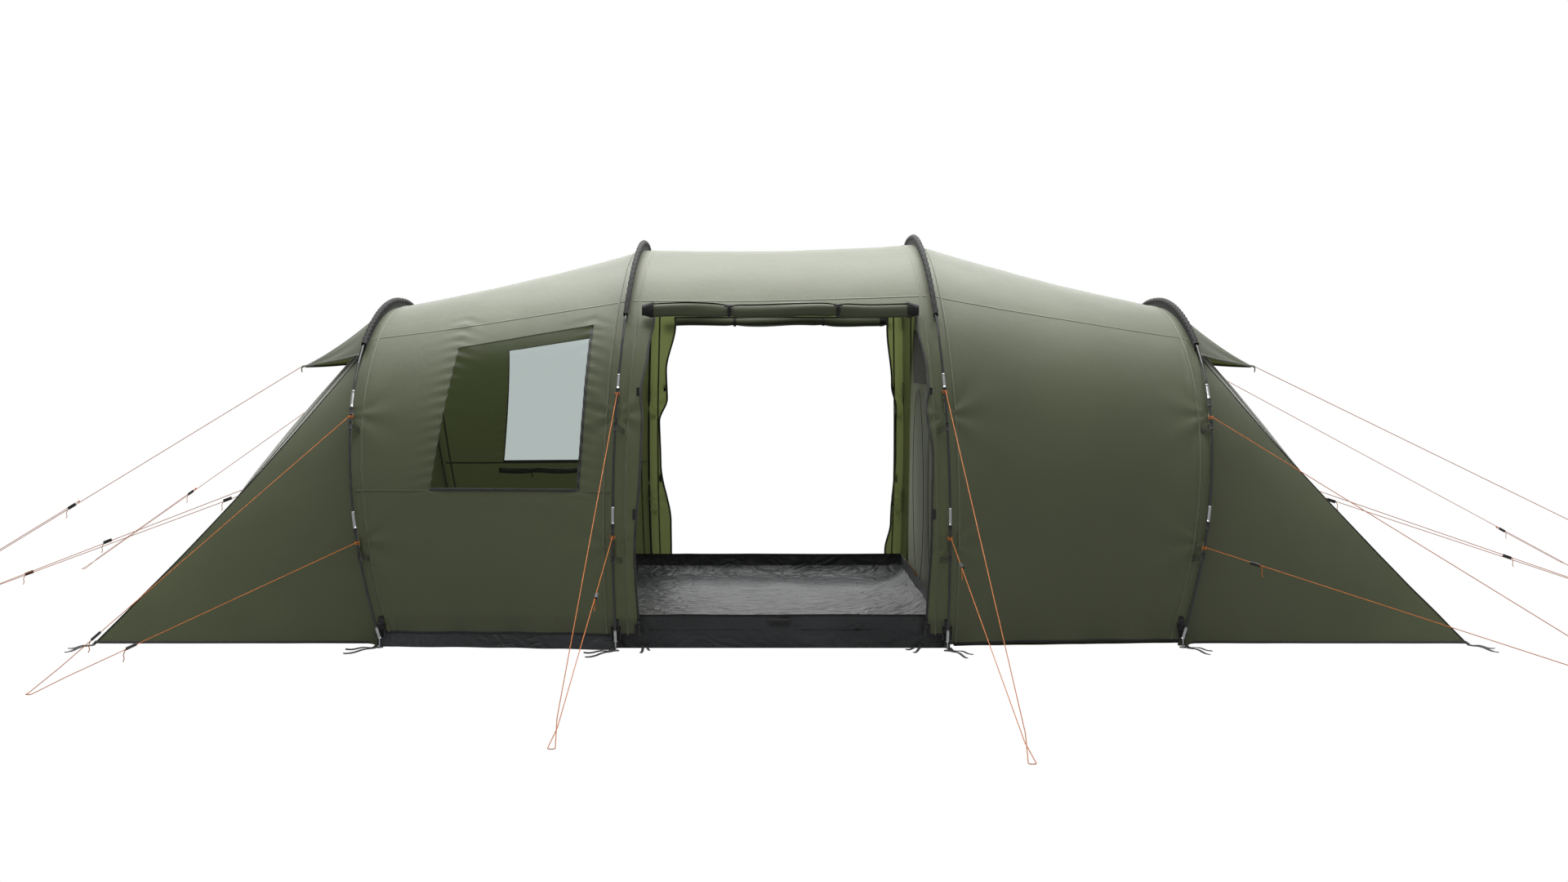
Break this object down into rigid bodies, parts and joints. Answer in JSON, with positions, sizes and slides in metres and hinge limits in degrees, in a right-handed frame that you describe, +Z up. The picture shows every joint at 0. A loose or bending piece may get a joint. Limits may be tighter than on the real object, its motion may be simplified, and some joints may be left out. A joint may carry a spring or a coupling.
{
  "type": "tunnel tent",
  "caption": "Tunnel tent on arched poles with sloping ends, side windows, rolled-up doors, tub floor, inner bedroom and guylines.",
  "frame": {"origin": "on the ground, in the middle of the tent's length and width", "axes": "+X along the tent towards the bedroom end, +Y towards the side away from the near door, +Z up"},
  "size_m": [9.8594, 5.1593, 1.9944],
  "materials": {
    "outer_fabric": "olive green coated polyester, matt with a faint sheen",
    "dark_fabric": "dark olive woven polyester",
    "inner_fabric": "light breathable polyester",
    "groundsheet": "creased grey polyethylene sheet, slightly glossy",
    "clear_window": "clear flexible window film",
    "fibreglass": "black fibreglass rod",
    "steel": "zinc-plated steel",
    "orange_cord": "orange braided cord",
    "black_webbing": "black webbing and mesh",
    "black_plastic": "moulded black plastic"
  },
  "bodies": {
    "tent": {"hoop_1": "fibreglass", "sleeve_1": "dark_fabric", "foot_pin_near_1": "steel", "foot_pin_far_1": "steel", "hoop_2": "fibreglass", "sleeve_2": "dark_fabric", "foot_pin_near_2": "steel", "foot_pin_far_2": "steel", "hoop_3": "fibreglass", "sleeve_3": "dark_fabric", "foot_pin_near_3": "steel", "foot_pin_far_3": "steel", "hoop_4": "fibreglass", "sleeve_4": "dark_fabric", "foot_pin_near_4": "steel", "foot_pin_far_4": "steel", "window_near": "clear_window", "window_far": "clear_window", "outer_left": "outer_fabric", "outer_centre": "outer_fabric", "outer_right": "outer_fabric", "outer_left_end": "outer_fabric", "outer_right_end": "outer_fabric", "vent_hood_left": "outer_fabric", "vent_hood_right": "outer_fabric", "door_roll_near": "outer_fabric", "curtain_roll_near": "dark_fabric", "door_roll_far": "outer_fabric", "curtain_roll_far": "dark_fabric", "groundsheet_tub": "groundsheet", "inner_canopy": "inner_fabric", "inner_floor": "groundsheet", "inner_front": "inner_fabric", "inner_mesh": "black_webbing", "guyline_near_1": "orange_cord", "guyline_near_2": "orange_cord", "guyline_near_3": "orange_cord", "guyline_near_4": "orange_cord", "guyline_far_1": "orange_cord", "guyline_far_4": "orange_cord", "guyline_hood_left": "orange_cord", "guyline_hood_right": "orange_cord", "guyline_end_left": "orange_cord", "guyline_end_right": "orange_cord"},
    "slider_near_1_1": {"slider_near_1_1": "black_plastic"},
    "slider_near_1_2": {"slider_near_1_2": "black_plastic"},
    "slider_near_2_1": {"slider_near_2_1": "black_plastic"},
    "slider_near_3_1": {"slider_near_3_1": "black_plastic"},
    "slider_near_4_1": {"slider_near_4_1": "black_plastic"},
    "slider_far_1_1": {"slider_far_1_1": "black_plastic"},
    "slider_far_4_1": {"slider_far_4_1": "black_plastic"},
    "slider_hood_left_1": {"slider_hood_left_1": "black_plastic"},
    "slider_hood_right_1": {"slider_hood_right_1": "black_plastic"},
    "slider_end_left_1": {"slider_end_left_1": "black_plastic"},
    "slider_end_left_2": {"slider_end_left_2": "black_plastic"},
    "slider_end_left_3": {"slider_end_left_3": "black_plastic"},
    "slider_end_right_1": {"slider_end_right_1": "black_plastic"},
    "slider_end_right_2": {"slider_end_right_2": "black_plastic"}
  },
  "joints": [
    {"name": "slider_near_1_1_slide", "type": "slide", "parent": "tent", "child": "slider_near_1_1", "axis": [-0.4965, -0.6676, -0.5549], "range_m": [-1.46, 0.13]},
    {"name": "slider_near_1_2_slide", "type": "slide", "parent": "tent", "child": "slider_near_1_2", "axis": [-0.6471, -0.6994, -0.3035], "range_m": [-1.03, 0.22]},
    {"name": "slider_near_2_1_slide", "type": "slide", "parent": "tent", "child": "slider_near_2_1", "axis": [-0.0171, -0.9663, -0.2569], "range_m": [-0.58, 1.1]},
    {"name": "slider_near_3_1_slide", "type": "slide", "parent": "tent", "child": "slider_near_3_1", "axis": [0.0073, -0.9729, -0.231], "range_m": [-0.26, 1.62]},
    {"name": "slider_near_4_1_slide", "type": "slide", "parent": "tent", "child": "slider_near_4_1", "axis": [0.7614, -0.6048, -0.2334], "range_m": [-0.14, 1.49]},
    {"name": "slider_far_1_1_slide", "type": "slide", "parent": "tent", "child": "slider_far_1_1", "axis": [-0.791, 0.351, -0.5012], "range_m": [-1.88, 0.8]},
    {"name": "slider_far_4_1_slide", "type": "slide", "parent": "tent", "child": "slider_far_4_1", "axis": [0.8579, 0.2947, -0.4208], "range_m": [-2.82, 0.43]},
    {"name": "slider_hood_left_1_slide", "type": "slide", "parent": "tent", "child": "slider_hood_left_1", "axis": [-0.8534, 0, -0.5213], "range_m": [-1.34, 0.82]},
    {"name": "slider_hood_right_1_slide", "type": "slide", "parent": "tent", "child": "slider_hood_right_1", "axis": [0.8987, 0, -0.4386], "range_m": [-2.25, 0.37]},
    {"name": "slider_end_left_1_slide", "type": "slide", "parent": "tent", "child": "slider_end_left_1", "axis": [-0.9311, 0.0767, -0.3566], "range_m": [-0.74, 0.43]},
    {"name": "slider_end_left_2_slide", "type": "slide", "parent": "tent", "child": "slider_end_left_2", "axis": [-0.9377, 0.0168, -0.347], "range_m": [-0.05, 0.75]},
    {"name": "slider_end_left_3_slide", "type": "slide", "parent": "tent", "child": "slider_end_left_3", "axis": [-0.9377, 0.0168, -0.347], "range_m": [-0.21, 0.05]},
    {"name": "slider_end_right_1_slide", "type": "slide", "parent": "tent", "child": "slider_end_right_1", "axis": [0.9437, 0.0695, -0.3233], "range_m": [-1.07, 0.29]},
    {"name": "slider_end_right_2_slide", "type": "slide", "parent": "tent", "child": "slider_end_right_2", "axis": [0.9493, 0.0152, -0.3139], "range_m": [-0.06, 1.26]}
  ]
}
